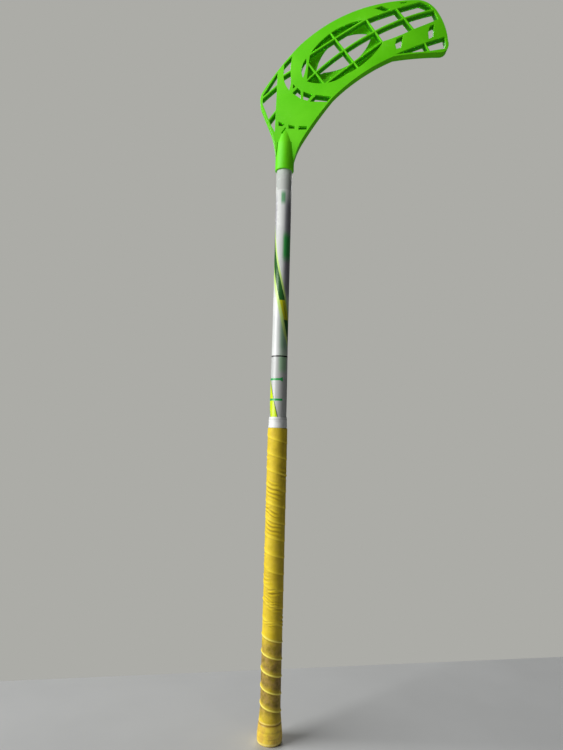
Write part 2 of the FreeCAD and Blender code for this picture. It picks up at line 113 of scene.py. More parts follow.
# The wound tape's relief, and how far it reaches along the shaft.
# Its low end is wound harder and is dirtier than the rest, and passes into it between two heights.
LOW_END = (132.0, 158.0)
BEAD_HEIGHT = 0.26
BEAD_LOW_EXTRA = 0.56
BEAD_BELOW = 1.0
BEAD_ABOVE = 1.4
BEAD_SPREAD = 0.5
LAP_HEIGHT = 0.18
LAP_REACH = 7.0
LAP_SINK = 0.35
FOLD_HEIGHT = 0.55
HOLLOW_DEPTH = 0.2
HOLLOW_REACH = 1.0
HOLLOW_BELOW = 2.1
PLAIN_END = 5.0
FLARE_FOOT = 28.0
FLARE_TOP = 48.0
END_ROUND = 0.8
END_REACH = 1.6
HANDS_FOOT = (10.0, 54.0)
HANDS_TOP = (120.0, 150.0)

# Values for the tape's finish: dirt sets in below and above the tape's edge, dullness lies between its folds,
# and the painted highlight on its ridges and the painted shade in its grooves show less above the low end
DIRT_BELOW = (0.9, 2.2)
DIRT_ABOVE = [(0.55, 0.8, 1.8), (0.45, 1.2, 8.0)]
DULLNESS = 0.34
RIDGE_SHOWN = (0.16, 0.84)
GROOVE_SHOWN = (0.28, 0.5)
GROOVE_BELOW = 1.9
GROOVE_REACH = 0.8

# Print on the shaft: heights in millimetres, angles in degrees, leans in degrees to a millimetre.
# A front is the height where the middle of a climbing print crosses the front of the tube.
PRINT_LEAN = 1.25
STREAK_FRONT = 614.92
STREAK_FOOT = 530.0
STREAK_TOP = 776.0
STREAK_FULL = (560.0, 688.0)
STREAK_POINT = 520.0
TAIL_FOOT = 651.0
TAIL_BEND = 0.006
CORE_REACH = 20.5
RIGHT_REACH = 35.0
LEFT_REACH = 46.0
BRIGHT_PART = (579.0, 607.5)
CORE_LINE = (1.0, 4.5)
WEDGE_FRONT = 412.8
WEDGE_FOOT = 430.0
WEDGE_TOP = 552.0
WEDGE_FULL = 470.0
WEDGE_POINT = 560.0
WEDGE_REACH = 27.5
WEDGE_EDGE = 5.5
DARK_RING = (525.2, 527.2)
GREEN_RINGS = [(493.0, 1.6), (464.0, 0.0)]
RING_TURN = (-150.0, 28.0)
RING_FLARE_START = 2.0
RING_HALF = 1.5
BARE_TOP = 773.0

# Soft fields of print, one of them also painted shade: colour, strength, two angles and their softness, two
# heights and their softness
SHAFT_FADES = [
    ((198, 200, 197), 1.0, (-181.0, 181.0, 1.0), (420.0, 526.0, 1.0)),
    ((170, 168, 178), 0.7, (-120.0, -56.0, 9.0), (694.0, 762.0, 12.0)),
    # Grey print round the right side and the back, also painted shade on the side turned away from the light
    ((138, 136, 146), 0.8, (16.0, 150.0, 14.0), (614.0, 758.0, 12.0)),
    ((44, 186, 72), 0.9, (6.0, 110.0, 12.0), (668.0, 706.0, 8.0)),
    ((66, 158, 92), 0.8, (-18.0, 14.0, 6.0), (752.0, 769.0, 5.0)),
    ((104, 168, 112), 0.72, (0.0, 66.0, 16.0), (530.0, 600.0, 14.0)),
    ((146, 204, 146), 0.66, (-2.0, 58.0, 14.0), (504.0, 528.0, 5.0)),
]


# Mesh making


def ring_angles(count):
    """Even angles round the shaft, from the front, without the repeated last one."""
    return np.linspace(-math.pi, math.pi, count, endpoint=False)


def around(radius, angle, height):
    """Points at a radius, an angle from the front and a height, in metres."""
    x, y, z = np.broadcast_arrays(radius * np.sin(angle), -radius * np.cos(angle), height)
    return np.stack((x, y, z), axis=-1) * MM


def grid_quads(rows, columns, close_rows):
    """Corner numbers of the quads of a grid, closed along its columns, and along its rows if asked."""
    row = np.arange(rows if close_rows else rows - 1)[:, None]
    column = np.arange(columns)[None, :]
    after = (column + 1) % columns
    here = row * columns
    above = (row + 1) % rows * columns
    corners = (here + column, here + after, above + after, above + column)
    return np.stack(np.broadcast_arrays(*corners), axis=-1).reshape(-1, 4)


def mesh_piece(name, points, quads, **attributes):
    """A smooth mesh object at the origin, with named values at its points."""
    mesh = bpy.data.meshes.new(name)
    mesh.from_pydata(points.reshape(-1, 3).tolist(), [], quads.tolist())
    for label, values in attributes.items():
        layer = mesh.attributes.new(label, "FLOAT", "POINT")
        layer.data.foreach_set("value", np.ascontiguousarray(values, dtype=np.float32).ravel())
    mesh.polygons.foreach_set("use_smooth", np.ones(len(mesh.polygons), dtype=bool))
    mesh.validate()
    mesh.update()
    piece = bpy.data.objects.new(name, mesh)
    bpy.context.scene.collection.objects.link(piece)
    return piece


def dress(piece, node, material):
    """Lets a piece stand for a CAD node and its finish."""
    piece.data.materials.clear()
    piece.data.materials.append(material)
    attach(piece, "root")
    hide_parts(node)


def smooth_step(value, low, high):
    """0 below low, 1 above high and a smooth rise between them."""
    share = np.clip((value - low) / (high - low), 0, 1)
    return share * share * (3 - 2 * share)


def bell(value, middle, reach):
    """1 at a middle value, falling away on both sides."""
    return np.exp(-((value - middle) / reach) ** 2)


def corner_arc(centre, radius, start, end, count):
    """Points of an arc of a lathe profile, from one angle in degrees to another."""
    turn = np.radians(np.linspace(start, end, count))
    return np.stack((centre[0] + radius * np.cos(turn), centre[1] + radius * np.sin(turn)), axis=-1)


# Shader making


def tint(red, green, blue):
    """A colour as seen on a screen, 0 to 255, in the renderer's linear values."""
    share = np.array((red, green, blue)) / 255
    linear = np.where(share <= 0.04045, share / 12.92, ((share + 0.055) / 1.055) ** 2.4)
    return (*linear.tolist(), 1.0)


class Graph:
    """Adds nodes to a shader tree; a number, a colour or another node's socket may feed an input."""

    def __init__(self, tree):
        self.tree = tree

    def feed(self, socket, value):
        """Links another node's socket to an input, or sets the input's own value."""
        if isinstance(value, bpy.types.NodeSocket):
            self.tree.links.new(value, socket)
        else:
            socket.default_value = value

    def add(self, kind, feeds=None, **settings):
        """A node of a kind, with its settings and what feeds its inputs."""
        node = self.tree.nodes.new(kind)
        for name, value in settings.items():
            setattr(node, name, value)
        for socket, value in (feeds or {}).items():
            self.feed(node.inputs[socket], value)
        return node

    def math(self, operation, *values):
        """One step of arithmetic."""
        node = self.add("ShaderNodeMath", operation=operation)
        for socket, value in zip(node.inputs, values):
            self.feed(socket, value)
        return node.outputs[0]

    def more(self, base, value, share):
        """A base value, raised by a share of another one."""
        return self.math("MULTIPLY_ADD", value, share, base)

    def rise(self, value, low, high):
        """0 below low, 1 above high, smooth between; it falls where low is the larger."""
        feeds = {"Value": value, "From Min": low, "From Max": high}
        return self.add("ShaderNodeMapRange", feeds, interpolation_type="SMOOTHSTEP").outputs["Result"]

    def span(self, value, low, high, soft):
        """1 between two values, with soft ends."""
        up = self.rise(value, low - soft, low + soft)
        return self.math("MULTIPLY", up, self.rise(value, high + soft, high - soft))

    def both(self, *masks):
        """The product of masks and strengths."""
        product = masks[0]
        for mask in masks[1:]:
            product = self.math("MULTIPLY", product, mask)
        return product

    def lay(self, under, over, mask):
        """One colour over another where the mask is 1."""
        node = self.add("ShaderNodeMix", data_type="RGBA")
        for socket, value in ((0, mask), (6, under), (7, over)):
            self.feed(node.inputs[socket], value)
        return node.outputs[2]

    def noise(self, scale, detail, stretch=None):
        """Noise on the piece's own coordinates, in features per metre, drawn out where asked."""
        place = self.add("ShaderNodeTexCoord").outputs["Object"]
        if stretch:
            place = self.add("ShaderNodeMapping", {"Vector": place, "Scale": stretch}).outputs[0]
        feeds = {"Vector": place, "Scale": scale, "Detail": detail, "Roughness": 0.55}
        return self.add("ShaderNodeTexNoise", feeds).outputs["Fac"]

    def value(self, name):
        """A named value of the piece's points or faces."""
        return self.add("ShaderNodeAttribute", attribute_name=name).outputs["Fac"]

    def polar(self):
        """Angle round the shaft in degrees from the front, and height in millimetres."""
        place = self.add("ShaderNodeTexCoord").outputs["Object"]
        split = self.add("ShaderNodeSeparateXYZ", {"Vector": place})
        forward = self.math("MULTIPLY", split.outputs["Y"], -1.0)
        turn = self.math("ARCTAN2", split.outputs["X"], forward)
        return self.math("DEGREES", turn), self.math("MULTIPLY", split.outputs["Z"], 1 / MM)

    def effect(self, group, **feeds):
        """One of the shared effects, with its own values."""
        node = self.add("ShaderNodeGroup", node_tree=group)
        for name, value in feeds.items():
            self.feed(node.inputs[name], value)
        return node.outputs


def new_effect(name, inputs, outputs):
    """An empty shared effect with named inputs, each with its start value, and named outputs."""
    group = bpy.data.node_groups.new(name, "ShaderNodeTree")
    for label, start in inputs.items():
        group.interface.new_socket(label, in_out="INPUT", socket_type="NodeSocketFloat").default_value = start
    for label in outputs:
        group.interface.new_socket(label, in_out="OUTPUT", socket_type="NodeSocketFloat")
    graph = Graph(group)
    return group, graph, graph.add("NodeGroupInput").outputs, graph.add("NodeGroupOutput").inputs


def scratch_effect():
    """Thin scattered scratches in two directions, as a mask: stretched noise near its middle value."""
    group, graph, inside, out = new_effect("fine_scratches", {"Size": 60.0, "Amount": 0.5}, ["Mask"])
    streaks = []
    for stretch in ((1.0, 1.0, 0.06), (0.07, 0.07, 1.0)):
        wave = graph.noise(inside["Size"], 3.0, stretch)
        ridge = graph.math("ABSOLUTE", graph.math("SUBTRACT", wave, 0.5))
        streaks.append(graph.rise(ridge, 0.012, 0.0))
    where = graph.rise(graph.noise(18.0, 2.0), 0.52, 0.70)
    both = graph.math("MULTIPLY", graph.math("MAXIMUM", *streaks), where)
    graph.feed(out["Mask"], graph.math("MULTIPLY", both, inside["Amount"]))
    return group


def mottle_effect():
    """Slow and fine variation of a surface, as a value from 0 to 1, and its fine grain as a height."""
    group, graph, inside, out = new_effect("mottle", {"Slow": 25.0, "Grain": 900.0}, ["Value", "Height"])
    slow = graph.noise(inside["Slow"], 3.0)
    graph.feed(out["Value"], graph.rise(slow, 0.3, 0.7))
    graph.feed(out["Height"], graph.noise(inside["Grain"], 2.0))
    return group


SCRATCHES = scratch_effect()
MOTTLE = mottle_effect()


def new_material(name, **constants):
    """A material with one Principled shader, its even values set on its own sockets."""
    material = bpy.data.materials.new(name)
    material.use_nodes = True
    shader = material.node_tree.nodes["Principled BSDF"]
    for socket, value in constants.items():
        shader.inputs[socket.replace("_", " ")].default_value = value
    return material, Graph(material.node_tree), shader.inputs


def bump(graph, height, strength, distance):
    """A normal from a height."""
    feeds = {"Height": height, "Strength": strength, "Distance": distance}
    return graph.add("ShaderNodeBump", feeds).outputs["Normal"]


# Finishes


def inner_wall(graph):
    """Mask of painted shade on walls that face another wall, behind their front edges and before their back
    ones.
    """
    place = graph.add("ShaderNodeTexCoord").outputs["Object"]
    axis = graph.add("ShaderNodeSeparateXYZ", {"Vector": place}).outputs
    across = graph.math("SUBTRACT", axis["X"], HOOK_X * MM)
    along = graph.math("SUBTRACT", axis["Y"], HOOK_Y * MM)
    squares = graph.math("ADD", graph.both(across, across), graph.both(along, along))
    forward = graph.math("SUBTRACT", graph.math("SQRT", squares), HOOK_RADIUS * MM)
    half = BLADE_DEPTH / 2 * MM
    back_end, front_end, soft = -0.5 * half, 0.6 * half, 0.2 * half
    # Strength of the painted shade on the inner walls
    painted_shade = 0.8
    return graph.both(graph.span(forward, back_end, front_end, soft), graph.value("inner"), painted_shade)


def blade_plastic():
    """Bright green moulded plastic: painted shade on its inner walls, slow shifts of tone, a fine grain and
    pale scuffs.

    A weak glow stands for the light that passes through its thin walls.
    """
    material, graph, shader = new_material(
        "blade_plastic", IOR=1.5, Specular_IOR_Level=0.3, Emission_Strength=0.10,
    )
    mottle = graph.effect(MOTTLE, Slow=14.0, Grain=1400.0)
    scuffs = graph.effect(SCRATCHES, Size=150.0, Amount=0.3)["Mask"]
    green = graph.lay(tint(90, 200, 2), tint(102, 212, 8), mottle["Value"])
    # Painted shade: a darker green on walls that face another wall
    green = graph.lay(green, tint(34, 126, 8), inner_wall(graph))
    graph.feed(shader["Base Color"], graph.lay(green, tint(150, 226, 90), scuffs))
    graph.feed(shader["Emission Color"], green)
    dull = graph.more(0.50, mottle["Value"], 0.10)
    graph.feed(shader["Roughness"], graph.more(dull, scuffs, 0.25))
    graph.feed(shader["Normal"], bump(graph, mottle["Height"], 0.12, 0.0003))
    return material


def climb(graph, angle, height, front):
    """Angle off a line that climbs to the left round the tube and crosses its front at a height."""
    lean = graph.more(-front * PRINT_LEAN, height, PRINT_LEAN)
    return graph.math("ADD", angle, lean)


def streak_masks(graph, angle, height):
    """A tapered print that climbs round the tube: its dark core, its pale borders and a line in its core.

    Its side is the angle off its climbing middle, less a square term that bends its tail above a height.
    """
    above = graph.math("MAXIMUM", graph.math("SUBTRACT", height, TAIL_FOOT), 0.0)
    side = graph.more(climb(graph, angle, height, STREAK_FRONT), graph.both(above, above), -TAIL_BEND)
    low_taper = graph.rise(height, STREAK_POINT, STREAK_FULL[0])
    taper = graph.both(graph.rise(height, STREAK_TOP, STREAK_FULL[1]), low_taper)
    past_core = graph.more(graph.math("ABSOLUTE", side), taper, -CORE_REACH)
    core = graph.rise(past_core, 1.0, -1.0)
    right = graph.rise(graph.more(side, taper, -RIGHT_REACH), 2.0, -4.0)
    left = graph.rise(graph.more(side, taper, LEFT_REACH), -4.0, 10.0)
    shown = graph.span(height, STREAK_FOOT, STREAK_TOP, 2.0)
    line = graph.both(graph.span(side, *CORE_LINE, 0.8), shown)
    return graph.both(core, shown), graph.both(left, right, shown), line


def wedge_masks(graph, angle, height):
    """A broad print that climbs from the closing tape to the left: its bright field and its dark edges."""
    across = graph.math("ABSOLUTE", climb(graph, angle, height, WEDGE_FRONT))
    inside = graph.more(across, graph.rise(height, WEDGE_POINT, WEDGE_FULL), -WEDGE_REACH)
    shown = graph.span(height, WEDGE_FOOT, WEDGE_TOP, 1.0)
    field = graph.both(graph.rise(inside, 0.6, -0.6), shown)
    return field, graph.both(graph.span(inside, 0.0, WEDGE_EDGE, 0.8), shown)


def lay_fades(graph, colour, angle, height):
    """Soft fields of print, one of them also painted shade, between two angles and two heights, one over the
    other.
    """
    for over, strength, turn, rise in SHAFT_FADES:
        field = graph.both(graph.span(angle, *turn), graph.span(height, *rise), strength)
        colour = graph.lay(colour, tint(*over), field)
    return colour


def lay_streaks(graph, colour, angle, height):
    """The tapered streak with its bright part, and the broad wedge above the closing tape."""
    core, border, line = streak_masks(graph, angle, height)
    bright = graph.span(height, *BRIGHT_PART, 0.5)
    core_colour = graph.lay(tint(44, 98, 41), tint(196, 200, 34), bright)
    core_colour = graph.lay(core_colour, tint(70, 84, 20), graph.both(line, bright))
    colour = graph.lay(colour, tint(198, 230, 130), border)
    colour = graph.lay(colour, core_colour, core)
    field, edges = wedge_masks(graph, angle, height)
    colour = graph.lay(colour, tint(208, 234, 18), field)
    return graph.lay(colour, tint(24, 58, 24), edges)


def lay_rings(graph, colour, angle, height):
    """A thin dark ring, and green rings part of the way round, which may widen at their right end."""
    colour = graph.lay(colour, tint(20, 22, 20), graph.span(height, *DARK_RING, 0.25))
    shown = graph.span(angle, *RING_TURN, 2.0)
    right_end = graph.rise(angle, RING_FLARE_START, RING_TURN[1])
    for level, flare in GREEN_RINGS:
        off = graph.math("ABSOLUTE", graph.math("SUBTRACT", height, level))
        ring = graph.rise(graph.more(off, right_end, -flare), RING_HALF + 0.3, RING_HALF - 0.3)
        colour = graph.lay(colour, tint(48, 172, 84), graph.both(ring, shown))
    return colour


def shaft_lacquer():
    """Glossy white lacquer with printed fades, one of them also painted shade on its right side, two climbing
    streaks and rings, and a bare grey top.
    """
    material, graph, shader = new_material(
        "shaft_lacquer", IOR=1.5, Specular_IOR_Level=0.32, Coat_Weight=0.08, Coat_Roughness=0.2,
    )
    angle, height = graph.polar()
    mottle = graph.effect(MOTTLE, Slow=30.0, Grain=2200.0)
    scratches = graph.effect(SCRATCHES, Size=110.0, Amount=0.25)["Mask"]
    colour = graph.lay(tint(208, 211, 208), tint(222, 224, 221), mottle["Value"])
    for lay_print in (lay_fades, lay_streaks, lay_rings):
        colour = lay_print(graph, colour, angle, height)
    colour = graph.lay(colour, tint(194, 198, 193), graph.rise(height, BARE_TOP - 0.5, BARE_TOP + 0.5))
    graph.feed(shader["Base Color"], graph.lay(colour, tint(120, 122, 118), scratches))
    gloss = graph.more(0.22, mottle["Value"], 0.06)
    graph.feed(shader["Roughness"], graph.more(gloss, scratches, 0.3))
    graph.feed(shader["Normal"], bump(graph, mottle["Height"], 0.05, 0.0002))
    return material


def grip_tape():
    """Yellow soft tape: a painted highlight on its raised seams, painted shade in its grooves and wrinkle
    troughs, brown hand dirt between the seams low down, a dull fine grain.
    """
    material, graph, shader = new_material(
        "grip_tape", IOR=1.45, Specular_IOR_Level=0.35, Sheen_Weight=0.05, Sheen_Roughness=0.5,
    )
    mottle = graph.effect(MOTTLE, Slow=60.0, Grain=1500.0)
    dirt, ridge, fold = graph.value("dirt"), graph.value("ridge"), graph.value("fold")
    yellow = graph.lay(tint(236, 205, 26), tint(254, 224, 42), mottle["Value"])
    # Painted highlight along the raised seams
    yellow = graph.lay(yellow, tint(255, 242, 112), ridge)
    # Painted shade in the grooves below the seams and in the wrinkle troughs
    yellow = graph.lay(yellow, tint(142, 112, 18), graph.both(fold, 0.8))
    blotch = graph.rise(graph.noise(190.0, 5.0), 0.32, 0.66)
    soil = graph.lay(tint(116, 98, 30), tint(160, 130, 70), blotch)
    cover = graph.more(0.64, graph.rise(graph.noise(70.0, 4.0), 0.3, 0.6), 0.32)
    graph.feed(shader["Base Color"], graph.lay(yellow, soil, graph.both(dirt, cover)))
    graph.feed(shader["Roughness"], graph.more(0.60, ridge, -0.12))
    graph.feed(shader["Normal"], bump(graph, mottle["Height"], 0.25, 0.0004))
    return material


def knob_rubber():
    """Yellow rubber end: faint smudges and scratches, grime and painted shade in its grooves, painted shade
    under its foot and painted highlights on its edges.
    """
    material, graph, shader = new_material("knob_rubber", IOR=1.48)
    mottle = graph.effect(MOTTLE, Slow=45.0, Grain=1100.0)
    scratches = graph.effect(SCRATCHES, Size=90.0, Amount=0.7)["Mask"]
    yellow = graph.lay(tint(232, 200, 50), tint(249, 220, 84), mottle["Value"])
    smudge = graph.both(graph.rise(graph.noise(120.0, 5.0), 0.40, 0.66), 0.7)
    yellow = graph.lay(yellow, tint(204, 160, 62), smudge)
    # Painted highlight on the bottom edge and on the lip
    yellow = graph.lay(yellow, tint(255, 238, 150), graph.both(graph.value("edge_highlight"), 0.7))
    # Grime and painted shade in the grooves, painted shade under the foot
    grimed_and_shaded = graph.lay(yellow, tint(146, 108, 30), graph.value("grime"))
    graph.feed(shader["Base Color"], graph.lay(grimed_and_shaded, tint(150, 118, 44), scratches))
    graph.feed(shader["Roughness"], graph.more(0.44, mottle["Value"], 0.12))
    graph.feed(shader["Normal"], bump(graph, mottle["Height"], 0.2, 0.0004))
    return material


def white_tape():
    """White closing tape: satin, a little grey along its edges, with a crosswise stretch grain."""
    material, graph, shader = new_material("white_tape", IOR=1.46)
    mottle = graph.effect(MOTTLE, Slow=80.0, Grain=1300.0)
    stretch = graph.noise(240.0, 3.0, (0.15, 0.15, 2.0))
    white = graph.lay(tint(222, 224, 222), tint(240, 241, 238), mottle["Value"])
    grime = graph.both(graph.value("grime"), 0.7)
    graph.feed(shader["Base Color"], graph.lay(white, tint(134, 132, 122), grime))
    graph.feed(shader["Roughness"], graph.more(0.42, mottle["Value"], 0.1))
    graph.feed(shader["Normal"], bump(graph, stretch, 0.25, 0.0003))
    return material


def screw_steel():
    """Zinc-plated steel with a fine grain and dull patches."""
    material, graph, shader = new_material("screw_steel", Metallic=1.0)
    mottle = graph.effect(MOTTLE, Slow=300.0, Grain=4000.0)
    graph.feed(shader["Base Color"], graph.lay(tint(148, 148, 144), tint(190, 190, 186), mottle["Value"]))
    graph.feed(shader["Roughness"], graph.more(0.28, mottle["Value"], 0.2))
    graph.feed(shader["Normal"], bump(graph, mottle["Height"], 0.1, 0.0001))
    return material


def floor_paint():
    """Pale matt table top."""
    material, graph, shader = new_material("floor_paint", Roughness=0.85, Specular_IOR_Level=0.1)
    mottle = graph.effect(MOTTLE, Slow=6.0, Grain=500.0)
    graph.feed(shader["Base Color"], graph.lay(tint(194, 195, 194), tint(198, 199, 198), mottle["Value"]))
    return material


# Pieces


def lathe_piece(name, profile, columns, ring=True, **attributes):
    """A profile of (radius, height) points turned about the shaft axis.

    The profile is a closed ring, or it runs from the axis to the axis, where its end rings merge into points.
    """
    radius, height = profile[:, 0][:, None], profile[:, 1][:, None]
    points = around(radius, ring_angles(columns)[None, :], height)
    values = {label: np.repeat(row[:, None], columns, axis=1) for label, row in attributes.items()}
    piece = mesh_piece(name, points, grid_quads(len(profile), columns, ring), **values)
    if not ring:
        work = bmesh.new()
        work.from_mesh(piece.data)
        bmesh.ops.remove_doubles(work, verts=work.verts, dist=JOIN / 2 * MM)
        work.to_mesh(piece.data)
        work.free()
    return piece


def shaft_piece():
    """Tube: outer wall with its taper, end faces and bore, as one closed ring of profile points."""
    taper = np.linspace(TAPER_START, TAPER_END, TAPER_ROWS)
    heights = np.concatenate(([SHAFT_FOOT, TAPE_TOP], taper, [SHAFT_TOP]))
    share = smooth_step(heights, TAPER_START, TAPER_END)
    outer = SHAFT_LOW_R + (SHAFT_HIGH_R - SHAFT_LOW_R) * share
    wall = np.stack((outer, heights), axis=-1)
    bore = np.array([(SHAFT_BORE_R, SHAFT_TOP), (SHAFT_BORE_R, SHAFT_FOOT)])
    return lathe_piece("shaft_tube_skin", np.concatenate((wall, bore)), SHAFT_COLUMNS)


def bells(level, rows):
    """Bells at heights, with their half widths and sizes, one row of values for each."""
    return np.array([size * bell(level, middle, reach) for middle, reach, size in rows])


def knob_piece():
    """Flared end: rounded foot, full belly, a deep groove under its lip, two shallow rings and a skirt.

    The side is a fourth-degree curve fitted to its points, less bell-shaped grooves, plus the lip's bead.
    """
    foot = corner_arc((KNOB_SIDE[0][1] - FOOT_ROUND, FOOT_ROUND), FOOT_ROUND, -90, -4, FOOT_ROWS)
    knots = np.array(KNOB_SIDE)
    height = np.linspace(SIDE_FOOT, KNOB_TOP, KNOB_ROWS)
    plain = np.polyval(np.polyfit(knots[:, 0], knots[:, 1], 4), height)
    side = plain - bells(height, KNOB_GROOVES).sum(axis=0) + bells(height, KNOB_BEADS).sum(axis=0)
    skirt = SHAFT_LOW_R + FIT_GAP
    inner = np.array([(skirt, KNOB_TOP), (skirt, KNOB_FLOOR), (0.0, KNOB_FLOOR)])
    profile = np.concatenate(([(0.0, 0.0)], foot, np.stack((side, height), axis=-1), inner))
    radius, level = profile[:, 0], profile[:, 1]
    # Painted shade under the foot; with it, grime and painted shade in the grooves
    under = 0.6 * smooth_step(-level, -0.7, -0.1)
    grime = np.maximum(bells(level, KNOB_DARKENING).max(axis=0), under)
    # Painted highlight on the bottom edge and on the lip
    edge_highlight = bells(level, KNOB_HIGHLIGHTS).max(axis=0)
    seen = radius > SHAFT_LOW_R + 1
    values = {"grime": grime * seen, "edge_highlight": edge_highlight * seen}
    return lathe_piece("butt_knob_cap", profile, KNOB_COLUMNS, False, **values)


def seam_offset(angle, height):
    """Height above the nearest turn of the tape's edge: the edge falls from left to right on the front."""
    turn = (height - SEAM_FRONT) / WRAP_PITCH + angle / (2 * math.pi)
    return (turn - np.round(turn)) * WRAP_PITCH


# Groups of wrinkles on the front of the grip, in millimetres and radians:
# height, angle, half height, half angle, spacing, fall from left to right, strength
FRONT_WRINKLES = [
    (336.0, -0.30, 12.0, 0.90, 6.0, 4.6, 1.0),
    (306.0, -0.35, 5.5, 0.80, 5.4, 5.0, 1.0),
    (285.0, -0.25, 10.0, 0.90, 5.4, 4.6, 1.0),
]

# More groups, drawn at random: how many, and the range of each value, in the same order
CROSSING_WRINKLES = (14, [
    (146, 208), (-1.0, 0.7), (3.0, 5.0), (0.3, 0.6), (3.8, 5.6), (-3, 6), (0.4, 0.8),
])
BACK_WRINKLES = (12, [
    (150, 405), (0.35 * math.pi, 1.65 * math.pi), (5, 12), (0.6, 0.9), (4.6, 7.4), (2, 5), (0.4, 0.8),
])
WRINKLE_CURL = 1.3


def wrinkle_groups(seed=7):
    """The front groups, small crossing ones above the dirty end of the grip, and others round its back."""
    random = np.random.default_rng(seed)
    groups = list(FRONT_WRINKLES)
    for count, ranges in (CROSSING_WRINKLES, BACK_WRINKLES):
        for _ in range(count):
            groups.append(tuple(random.uniform(low, high) for low, high in ranges))
    return groups


def wrinkles(angle, height):
    """Short curved folds in small groups: waves in height and angle under a flat-topped bell window.

    Two slow sines in height and angle shift the waves, so that no two folds of a group are alike.
    """
    drift = 0.5 * np.sin(height / 4.3 + 1.7 * angle) + 0.7 * np.sin(height / 9.1 - 2.9 * angle)
    total = np.zeros(np.broadcast_shapes(angle.shape, height.shape))
    for middle, side, reach, breadth, spacing, fall, strength in wrinkle_groups():
        turn = (angle - side + math.pi) % (2 * math.pi) - math.pi
        slant = height - middle + fall * np.sin(turn) - WRINKLE_CURL * turn ** 2
        window = np.exp(-(slant / reach) ** 4 - (turn / breadth) ** 4)
        total += strength * window * np.cos(2 * math.pi * (slant + drift) / spacing)
    return np.clip(total, -1.2, 1.2)


def sleeve_piece(name, outer, foot, top, **fields):
    """An outer wall of rings, closed by a straight bore that clears the tube, with values on its wall."""
    columns = outer.shape[1]
    angle = ring_angles(columns)[None, :]
    bore = [around(SHAFT_LOW_R + FIT_GAP, angle, level) for level in (top, foot)]
    points = np.concatenate((outer, *bore))
    blank = np.zeros((len(bore), columns))
    values = {
        label: np.concatenate((np.broadcast_to(field, outer.shape[:2]), blank))
        for label, field in fields.items()
    }
    return mesh_piece(name, points, grid_quads(len(points), columns, True), **values)


def hand_dirt(offset, height, low_end, fold):
    """Dirt of the hands between the tape's edges, low down, with a faint dullness between the folds above."""
    hands = smooth_step(height, *HANDS_FOOT) * (1 - smooth_step(height, *HANDS_TOP))
    dull = DULLNESS * (1 - low_end) * smooth_step(-np.abs(fold), -0.5, -0.05)
    under = smooth_step(-offset, *DIRT_BELOW)
    above = sum(strength * smooth_step(offset, start, end) for strength, start, end in DIRT_ABOVE)
    return (hands + dull) * np.where(offset < 0, under, above)


def grip_piece():
    """Wound tape: a tube whose radius rises at each turn's edge and in its wrinkles, closed by its bore.

    Relief = edge bead, steep below and drawn out above + lap of the next turn + wrinkles - hollow below.
    Radius = grip radius + relief, which fades out at both ends + flare onto the knob - rounding of the top.
    """
    angle = ring_angles(GRIP_COLUMNS)[None, :]
    height = np.linspace(KNOB_TOP, GRIP_TOP, GRIP_ROWS)[:, None]
    offset = seam_offset(angle, height)
    low_end = 1 - smooth_step(height, *LOW_END)
    fold = wrinkles(angle, height) * (1 - low_end)
    bead_reach = np.where(offset < 0, BEAD_BELOW, BEAD_ABOVE) * (1 + BEAD_SPREAD * (1 - low_end))
    bead = bell(offset, 0.0, bead_reach)
    lap = np.where(offset < 0, 0.0, np.exp(-np.maximum(offset, 0) / LAP_REACH)) - LAP_SINK
    relief = bead * (BEAD_HEIGHT + BEAD_LOW_EXTRA * low_end) + LAP_HEIGHT * lap + FOLD_HEIGHT * fold
    relief = relief - HOLLOW_DEPTH * bell(offset, -HOLLOW_BELOW, HOLLOW_REACH)
    away = smooth_step(height, KNOB_TOP, KNOB_TOP + PLAIN_END)
    away = away * smooth_step(-height, -GRIP_TOP, PLAIN_END - GRIP_TOP)
    flare = (NECK_R - GRIP_R) * smooth_step(-height, -FLARE_TOP, -FLARE_FOOT)
    round_end = END_ROUND * (1 - smooth_step(GRIP_TOP - height, 0.0, END_REACH))
    outer = around(GRIP_R + away * relief + flare - round_end, angle, height)

    # The ridge values are a painted highlight along each seam's bead; the values below each edge and in the
    # wrinkle troughs are painted shade.
    ridge = bead * away * (RIDGE_SHOWN[0] + RIDGE_SHOWN[1] * low_end)
    below_edge = bell(offset, -GROOVE_BELOW, GROOVE_REACH)
    groove_shade = np.clip(-fold, 0, 1) + below_edge * (GROOVE_SHOWN[0] + GROOVE_SHOWN[1] * low_end)
    return sleeve_piece(
        "grip_tape_winding", outer, KNOB_TOP, GRIP_TOP,
        ridge=ridge, dirt=hand_dirt(offset, height, low_end, fold), fold=np.clip(groove_shade, 0, 1),
    )


